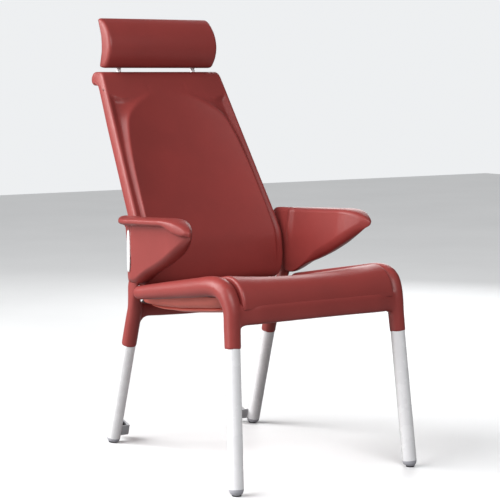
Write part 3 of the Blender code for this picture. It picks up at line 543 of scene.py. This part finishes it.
def seat_pad():
    loops = []
    for y, z, swing, dish in seat_stations():
        normal = Vector((0, -sin(swing), cos(swing)))
        at = Vector((0, y, z))
        loop = []
        for i in range(81):
            x = -SEAT_HALF * cos(pi * i / 80)
            lift = -dish * (1 - abs(x / SEAT_HALF) ** 2.2) - edge_tuck(x, SEAT_HALF, PAD_EDGE, 2.2)
            loop.append(at + X * x + normal * lift)
        for i in range(1, 5):
            loop.append(at + X * SEAT_HALF - normal * (PAD_EDGE + PAD_SIDE_STEP * i))
        for i in range(1, 20):
            loop.append(at + X * SEAT_HALF * (1 - i / 10) - normal * PAD_DEPTH)
        for i in range(4, 0, -1):
            loop.append(at - X * SEAT_HALF - normal * (PAD_EDGE + PAD_SIDE_STEP * i))
        loops.append(loop)
    return skinned("seat_cushion", loops, 70)


cushion = place(seat_pad(), "frame", "moulded_skin", "seat_pad")


# ---------------------------------------------------------------- back
BACK_WIDTH = ((0.452, 0.214), (0.468, 0.226), (0.490, 0.2325), (0.520, 0.2350), (0.600, 0.2355),
              (1.046, 0.200))
RIDGE = ((0.600, 0.2070), (0.660, 0.2030), (0.720, 0.1975), (0.775, 0.1925), (0.820, 0.1860),
         (0.860, 0.1785),
         (0.900, 0.1680), (0.916, 0.1605), (0.934, 0.1460), (0.947, 0.1280), (0.965, 0.1000),
         (0.979, 0.0720),
         (0.992, 0.0400))
GROOVE = ((0.600, 0.2140), (0.660, 0.2090), (0.740, 0.2050), (0.820, 0.1990), (0.860, 0.1925),
          (0.900, 0.1850),
          (0.955, 0.1780), (1.000, 0.1760))
RIDGE_HEIGHT = ((0.500, 0.000), (0.580, 0.0060), (0.660, 0.0085), (0.880, 0.0090),
                (0.935, 0.0085), (0.965, 0.0045),
                (0.990, 0.0))
DISH = ((0.500, 0.0), (0.600, 0.0080), (0.700, 0.0125), (0.860, 0.0125), (0.940, 0.0060),
        (1.000, 0.0))
CREASE = ((0.055, 0.9900), (0.065, 0.9860), (0.094, 0.9775), (0.127, 0.9680), (0.154, 0.9650),
          (0.1755, 0.9700), (0.190, 0.9770),
          (0.205, 0.9900))


def relief(x, z):
    """Height of the back's front face over its rim line: dished pad, side ridge, scooped groove, flat top."""
    x = abs(x)
    half = read(BACK_WIDTH, z)
    ridge = soft_read(RIDGE, z, 0.010)
    height = soft_read(RIDGE_HEIGHT, z, 0.020)
    dish = soft_read(DISH, z, 0.030)
    groove = soft_read(GROOVE, z, 0.020)
    deep = 0.0040 * smooth_step((z - 0.53) / 0.10) + 0.0060 * smooth_step((z - 0.85) / 0.08)
    pad = (height + dish) * min(x / ridge, 1.2) ** 2.2 - dish
    wall = height - (height + deep) * (x - ridge) / max(groove - ridge, 1e-4)
    level = blunt_min(pad, wall, min(0.0050, 0.3 * (height + deep)))
    if x > ridge:
        rim = -deep * (1 - smooth_step((x - groove) / max(half - 0.006 - groove, 1e-3)))
        level = -blunt_min(-level, -rim, min(0.0030, 0.25 * (height + deep)))
    line = soft_read(CREASE, max(x, 0.055), 0.006)
    above = smooth_step((z - line + 0.0060) / 0.0120)
    sharp = smooth_step((x - 0.050) / 0.020)
    soft = smooth_step((z - 0.965) / 0.035)
    return level * (1 - above * sharp) * (1 - soft * (1 - sharp))


FRONT_LINE = [(0.2300, 0.4530), (0.2080, 0.4540), (0.1930, 0.4610), (0.1838, 0.4760),
              (0.1812, 0.5000), (0.1822, 0.5350),
              (0.1890, 0.5800), (0.2035, 0.6150), (0.2235, 0.6500), (0.2471, 0.6883),
              (0.2995, 0.7735), (0.3519, 0.8587),
              (0.4043, 0.9438), (0.4462, 1.0120), (0.4570, 1.0290), (0.4655, 1.0395),
              (0.4770, 1.0455), (0.4920, 1.0460),
              (0.5080, 1.0460)]
SCROLL_CENTRE = (0.5080, 1.0265)
SCROLL_R = 0.0195
BACK_EDGE = 0.0078
REAR_LINE = [(0.4905, 1.0095), (0.4800, 0.9965), (0.4640, 0.9700), (0.4157, 0.8862),
             (0.3633, 0.8010), (0.3109, 0.7158),
             (0.2585, 0.6306), (0.2400, 0.5960), (0.2265, 0.5600), (0.2225, 0.5200),
             (0.2225, 0.4850), (0.2300, 0.4530)]


def back_outline():
    """Front points from the bottom to the scroll's top, and rear points paired with them."""
    front = curve(FRONT_LINE, 130)
    turn = []
    for i in range(1, 17):
        angle = radians(90 - 205 * i / 17)
        turn.append([SCROLL_CENTRE[0] + SCROLL_R * cos(angle), SCROLL_CENTRE[1] + SCROLL_R * sin(angle)])
    rear = turn + curve(REAR_LINE, 114)
    return front, rear


def back_moulding():
    front, rear = back_outline()
    outline = front + rear[:-1]
    normals = outline_normals(outline)
    columns = 110
    loops = []
    for k in range(-columns, columns + 1):
        u = 0.50 * sin(pi / 2 * k / columns) + 0.50 * k / columns
        loop = []
        for i, ((y, z), normal) in enumerate(zip(outline, normals)):
            half = read(BACK_WIDTH, z)
            x = half * u
            over = clamp((abs(x) - (half - BACK_EDGE)) / BACK_EDGE)
            tuck = edge_tuck(x, half, BACK_EDGE, 2.2)
            on_front = 3 < i < len(front) - 14
            lift = relief(x, z) * (1 - smooth_step(over)) if on_front else 0.0
            loop.append(Vector((x, y, z)) + normal * (lift - tuck))
        loops.append(loop)
    return skinned("back_moulding", loops, 70, strip_ends=True)


back = place(back_moulding(), "backrest", "moulded_skin", "back_pad", "back_shell")


# ---------------------------------------------------------------- headrest
HEAD_SECTION = [(0.5075, 1.0590), (0.4960, 1.0575), (0.4840, 1.0580), (0.4765, 1.0610),
                (0.4680, 1.0700), (0.4570, 1.0870),
                (0.4510, 1.1050), (0.4500, 1.1230), (0.4550, 1.1440), (0.4660, 1.1650),
                (0.4830, 1.1840), (0.4990, 1.1950),
                (0.5100, 1.1992), (0.5165, 1.1985), (0.5175, 1.1930), (0.5110, 1.1750),
                (0.5035, 1.1540), (0.4995, 1.1300),
                (0.5000, 1.1050), (0.5045, 1.0830), (0.5095, 1.0680), (0.5105, 1.0620),
                (0.5075, 1.0590)]


HEAD_HALF = 0.1835
HEAD_EDGE = 0.0115
MOST_TUCK = 0.0105
REAR_FROM_Y, REAR_TUCK = 0.492, 0.62        # behind this y the ends draw in by this share only
HEAD_CROWN = 0.0015


def headrest(columns=40):
    section = curve(HEAD_SECTION, 145)[:-1]
    normals = outline_normals(section)
    loops = []
    for k in range(-columns, columns + 1):
        x = HEAD_HALF * sin(pi / 2 * k / columns)
        tuck = clamp(edge_tuck(x, HEAD_HALF, HEAD_EDGE, 2.3), 0, MOST_TUCK)
        loop = []
        for (y, z), normal in zip(section, normals):
            point = Vector((x, y, z)) - normal * tuck * (REAR_TUCK if y > REAR_FROM_Y else 1.0)
            point.y -= HEAD_CROWN * (1 - (x / HEAD_HALF) ** 2)
            loop.append(point)
        loops.append(loop)
    return skinned("headrest_moulding", loops, 70)


head = place(headrest(), "headrest", "moulded_skin", "headrest_shell", "headrest_pad")


# ---------------------------------------------------------------- arms
ARM_TOP = [(0.2585, 0.6390), (0.2560, 0.6480), (0.2440, 0.6545), (0.1900, 0.6580),
           (0.1400, 0.6600), (0.0600, 0.6645),
           (-0.0100, 0.6680), (-0.0600, 0.6705), (-0.0900, 0.6690), (-0.1130, 0.6640),
           (-0.1350, 0.6545), (-0.1490, 0.6445),
           (-0.1550, 0.6370)]
ARM_LOW = [(0.2585, 0.6390), (0.2550, 0.6335), (0.2465, 0.6270), (0.2360, 0.6160),
           (0.2230, 0.5950), (0.2130, 0.5700),
           (0.2080, 0.5350), (0.2050, 0.4980), (0.1975, 0.4820), (0.1800, 0.4745),
           (0.1530, 0.4745), (0.1350, 0.4810),
           (0.1100, 0.4935), (0.0850, 0.5060), (0.0400, 0.5235), (-0.0080, 0.5430),
           (-0.0450, 0.5610), (-0.0780, 0.5790),
           (-0.1200, 0.6065), (-0.1400, 0.6205), (-0.1510, 0.6290), (-0.1550, 0.6370)]
RAIL_DEPTH = ((-0.155, 0.0140), (-0.140, 0.0220), (-0.125, 0.0310), (-0.105, 0.0350),
              (-0.090, 0.0330), (-0.070, 0.0235),
              (-0.058, 0.0210), (0.100, 0.0220), (0.200, 0.0240), (0.258, 0.0200))
RAIL_OUTER = ((-0.1550, 0.2920), (-0.1450, 0.3000), (-0.1300, 0.3060), (-0.1100, 0.3140),
              (-0.0800, 0.3205),
              (-0.0500, 0.3245), (0.1280, 0.3245), (0.1500, 0.3215), (0.1710, 0.3145),
              (0.2000, 0.2990), (0.2200, 0.2870),
              (0.2400, 0.2745), (0.2585, 0.2620))
PANEL_OUTER = ((0.4820, 0.2815), (0.5080, 0.2860), (0.5460, 0.2895), (0.5830, 0.2940),
               (0.6120, 0.2975), (0.6350, 0.3000),
               (0.6600, 0.3060))
PANEL_INNER = ((0.4820, 0.2420), (0.5080, 0.2405), (0.5460, 0.2408), (0.5830, 0.2420),
               (0.6120, 0.2445), (0.6350, 0.2475),
               (0.6600, 0.2510))
TIP_INNER = ((-0.1550, 0.0380), (-0.1450, 0.0300), (-0.1300, 0.0190), (-0.1100, 0.0105),
             (-0.0900, 0.0040), (-0.0600, 0.0))
TIP_OUTER = ((-0.1550, 0.0200), (-0.1400, 0.0140), (-0.1200, 0.0085), (-0.0900, 0.0030),
             (-0.0600, 0.0))
CAP_AT = Vector((0.2880, 0.1720, 0.565))
CAP_TURN = radians(22)
CAP_LINE = 0.3254             # distance of the slanted rear facet from the origin, along its normal
CAP_HALF_WIDE, CAP_HALF_HIGH = 0.0222, 0.0588
CAP_SINK = 0.0064
WAIST_Y, WAIST_REACH, WAIST_DEPTH = 0.163, 0.010, 0.0080      # hollow in the inner face beside the back
LEAST_THICK = 0.008
RAIL_POWER = 2.6
KEEL_REACH = 0.045


def arm_point(y, z, depth, lift, inner):
    """A point on the arm's outer or inner face: depth is from its top line, lift from its lower line.

    Below the rail the arm is a wedge: the outer face turns in under the arm to meet the inner face.
    """
    x_in = soft_read(PANEL_INNER, z, 0.012) + soft_read(TIP_INNER, y, 0.010)
    x_in -= WAIST_DEPTH * exp(-((y - WAIST_Y) / WAIST_REACH) ** 2) * smooth_step((z - 0.53) / 0.08)
    x_panel = soft_read(PANEL_OUTER, z, 0.012) - soft_read(TIP_OUTER, y, 0.012)
    facet = (CAP_LINE - y * sin(CAP_TURN)) / cos(CAP_TURN)
    x_panel = max(blunt_min(x_panel, facet, 0.004), x_in + LEAST_THICK)
    share = depth / soft_read(RAIL_DEPTH, y, 0.006)
    bulge = (1 - abs(2 * clamp(share) - 1) ** RAIL_POWER) ** (1 / RAIL_POWER)
    x_out = x_panel + max(soft_read(RAIL_OUTER, y, 0.006) - x_panel, 0.0) * bulge
    rear = smooth_step((y - 0.17) / 0.02)
    middle = (x_panel + x_in) / 2 + 0.002
    ahead = smooth_step((0.12 - y) / 0.10)
    keel = min(x_in + 0.004 + 0.014 * ahead, middle)
    middle = keel + (middle - keel) * max(smooth_step(lift / KEEL_REACH), rear)
    if inner:
        below = rounding(lift, 0.0040 + 0.0260 * ahead, 2.4 - 0.7 * ahead)
        width = rounding(depth, 0.0130, 2.3) * below
        return middle + (x_in - middle) * width
    width = rounding(depth, 0.0070, 2.6) * rounding(lift, 0.0200 - 0.0130 * rear, 1.9 + 0.5 * rear)
    return middle + (x_out - middle) * width


def seat_for_cap(point):
    """Flattens the arm behind the white cover plate and leaves a small rim round it."""
    normal = Vector((cos(CAP_TURN), sin(CAP_TURN), 0))
    tangent = Vector((-normal.y, normal.x, 0))
    offset = point - CAP_AT
    out = offset.dot(normal)
    if out < -0.02:
        return point
    spread = sqrt((offset.dot(tangent) / CAP_HALF_WIDE) ** 2 + (offset.z / CAP_HALF_HIGH) ** 2)
    if spread > 1.2:
        return point
    limit = -CAP_SINK + 0.05 * max(spread - 1.0, 0.0)
    if out > limit:
        point = point + normal * (limit - out)
    return point


def arm(side_name, side, rows=150, around=128):
    top = curve(ARM_TOP, rows)
    low = curve(ARM_LOW, rows)
    loops = []
    for (ty, tz), (ly, lz) in list(zip(top, low))[1:-1]:
        length = sqrt((ty - ly) ** 2 + (tz - lz) ** 2)
        loop = []
        for i in range(around):
            angle = 2 * pi * (i + 0.5) / around
            t = (1 - cos(angle)) / 2
            y, z = ty + (ly - ty) * t, tz + (lz - tz) * t
            x = arm_point(y, z, length * t, length * (1 - t), angle > pi)
            point = seat_for_cap(Vector((x, y, z)))
            loop.append(on_side(point, side))
        loops.append(loop)
    piece = skinned("arm_moulding_" + side_name, loops, 70)
    place(piece, "frame", "moulded_skin", "arm_" + side_name)


for side_name, side in SIDES:
    arm(side_name, side)


# ---------------------------------------------------------------- under tray
def tray_loop(y_front, y_rear, half_x, z_front, z_rear, upsweep, power=10.0, count=176):
    loop = []
    middle, half_y = (y_front + y_rear) / 2, (y_rear - y_front) / 2
    for i in range(count):
        angle = 2 * pi * i / count
        c, s = cos(angle), sin(angle)
        x = half_x * signed_root(c, power)
        y = middle + half_y * signed_root(s, power)
        share = (y - y_front) / (y_rear - y_front)
        z = z_front + (z_rear - z_front) * share + upsweep * clamp((share - 0.50) / 0.50) ** 2
        loop.append(Vector((x, y, z)))
    return loop


def under_tray():
    """Belly moulding: a grained upper wall, a shadow step, a proud lip and a shallow bottom pan."""
    levels = [
        (-0.236, 0.2145, 0.2380, 0.4800, 0.4360, 0.000),
        (-0.228, 0.2140, 0.2370, 0.4700, 0.4220, 0.004),
        (-0.212, 0.2130, 0.2310, 0.4600, 0.4080, 0.010),
        (-0.196, 0.2120, 0.2230, 0.4510, 0.4030, 0.016),
        (-0.187, 0.2110, 0.2160, 0.4465, 0.4000, 0.020),
        (-0.174, 0.2080, 0.2040, 0.4455, 0.3990, 0.020),
        (-0.183, 0.2110, 0.2100, 0.4405, 0.3940, 0.020),
        (-0.176, 0.2095, 0.2050, 0.4360, 0.3905, 0.020),
        (-0.160, 0.2080, 0.1860, 0.4310, 0.3875, 0.022),
        (-0.150, 0.2070, 0.1790, 0.4295, 0.3865, 0.020),
        (-0.146, 0.2060, 0.1755, 0.4300, 0.3870, 0.020),
        (-0.136, 0.2040, 0.1670, 0.4265, 0.3850, 0.017),
        (-0.105, 0.1980, 0.1400, 0.4190, 0.3820, 0.010),
        (-0.060, 0.1850, 0.0950, 0.4110, 0.3805, 0.004),
        (0.000, 0.1650, 0.0480, 0.4020, 0.3800, 0.000),
    ]
    outer = []
    for row in curve([(i * 0.02, *level) for i, level in enumerate(levels)], 58):
        outer.append(tray_loop(*row[1:]))
    inner = [[point + Vector((0, 0, 0.0030)) for point in tray_loop(*level)] for level in
             ((0.000, 0.1630, 0.0470, 0.4020, 0.3800, 0.0),
             (-0.100, 0.1950, 0.1340, 0.4190, 0.3830, 0.010),
              (-0.175, 0.2080, 0.1900, 0.4440, 0.4000, 0.024),
              (-0.226, 0.2110, 0.2230, 0.4720, 0.4240, 0.005),
              (-0.233, 0.2115, 0.2250, 0.4770, 0.4290, 0.0))]
    return skinned("belly_moulding", list(reversed(outer)) + list(reversed(inner)), 50)


# The belly gets the lighter, pinker red: painted light in place of the strong light from the left on its wall.
place(under_tray(), "frame", "belly_skin", "under_tray")


# ---------------------------------------------------------------- studio
def stage_plane(name, size, location, rotation, material):
    bm = bmesh.new()
    bmesh.ops.create_grid(bm, x_segments=8, y_segments=8, size=size)
    mesh = bpy.data.meshes.new(name)
    bm.to_mesh(mesh)
    bm.free()
    item = in_scene(name, mesh)
    item.location = location
    item.rotation_euler = rotation
    mesh.materials.append(material)


def floor_material():
    n = Nodes("pale_floor")
    tone = n.spread(n.noise(1.2, 3.0), 0.3, 0.7)
    pale = n.mix_colour(tone, (0.86, 0.87, 0.88), (0.90, 0.91, 0.92))
    seen = n.tree.nodes.new("ShaderNodeLightPath").outputs["Is Camera Ray"]
    n.link(n.mix_colour(seen, (0.26, 0.26, 0.26), pale), n.shader.inputs["Base Color"])
    n.shader.inputs["Roughness"].default_value = 0.55
    return n.material


stage_plane("studio_floor", 9.0, (0, 0, -0.0002), (0, 0, 0), floor_material())


def area_light(name, location, target, size, power, colour=(1, 1, 1)):
    lamp = bpy.data.lights.new(name, "AREA")
    lamp.shape = "RECTANGLE"
    lamp.size, lamp.size_y = size
    lamp.energy = power
    lamp.color = colour
    item = in_scene(name, lamp)
    item.location = location
    aim = Vector(target) - Vector(location)
    item.rotation_euler = aim.to_track_quat("-Z", "Y").to_euler()


area_light("window_left", (-3.2, 0.0, 1.0), (0, 0, 0.5), (1.6, 1.6), 36, (1.0, 0.985, 0.96))
area_light("window_behind", (-2.6, 2.2, 2.0), (0, 0, 0.7), (2.0, 2.0), 110, (1.0, 0.99, 0.97))
area_light("front_fill", (-0.9, -3.4, 3.0), (0, 0, 0.6), (2.2, 1.8), 108)
area_light("right_rim", (2.4, 2.2, 1.8), (0, 0, 0.7), (1.4, 2.2), 30)

sky = bpy.data.lights.new("soft_sky", "SUN")
sky.energy = 2.7
sky.angle = radians(50)
sky_lamp = in_scene("soft_sky", sky)
sky_lamp.rotation_euler = Vector((0.72, -0.22, -0.66)).to_track_quat("-Z", "Y").to_euler()

world = bpy.data.worlds.new("studio")
bpy.context.scene.world = world
world.use_nodes = True
tree = world.node_tree
rays = tree.nodes.new("ShaderNodeLightPath")
glow = tree.nodes.new("ShaderNodeMapRange")
tree.links.new(rays.outputs["Is Camera Ray"], glow.inputs["Value"])
glow.inputs["To Min"].default_value = 0.09
glow.inputs["To Max"].default_value = 0.90
tree.nodes["Background"].inputs[0].default_value = (0.95, 0.965, 0.98, 1)
tree.links.new(glow.outputs[0], tree.nodes["Background"].inputs[1])
bpy.context.scene.view_settings.view_transform = "Standard"
